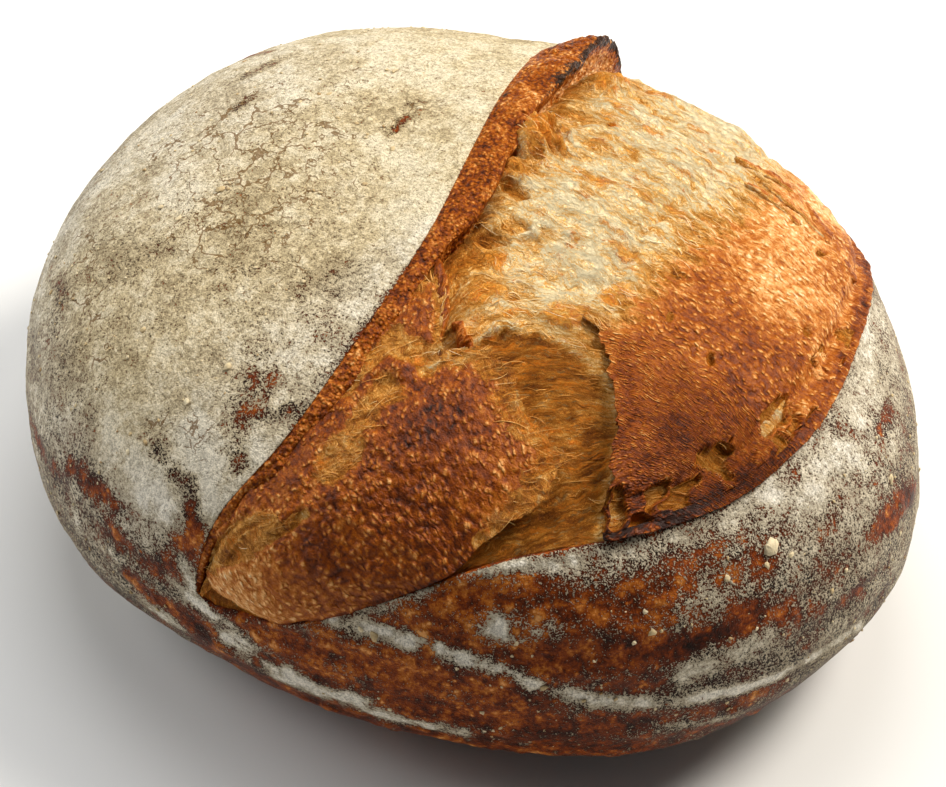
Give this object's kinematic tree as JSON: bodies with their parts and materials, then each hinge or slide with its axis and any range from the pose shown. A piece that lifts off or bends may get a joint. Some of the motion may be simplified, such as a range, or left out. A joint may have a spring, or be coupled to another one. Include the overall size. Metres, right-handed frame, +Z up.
{
  "type": "sourdough loaf",
  "caption": "Round hearth loaf with a floured domed crust, a curved score that burst open with a raised ear, torn crumb and browned skin in the opening, and a flat foot to stand on.",
  "frame": {"origin": "on the flat foot, under the heart of the loaf", "axes": "+Z up; X runs across the score, from the floured dome to the bloom; Y runs along the score, from its near tip to its far tip"},
  "size_m": [0.2584, 0.2208, 0.1149],
  "materials": {
    "baked_crust": "matte baked bread crust, dusted with flour on the dome and flanks and browned in the opened score"
  },
  "bodies": {
    "root": {"loaf": "baked_crust"}
  },
  "joints": []
}
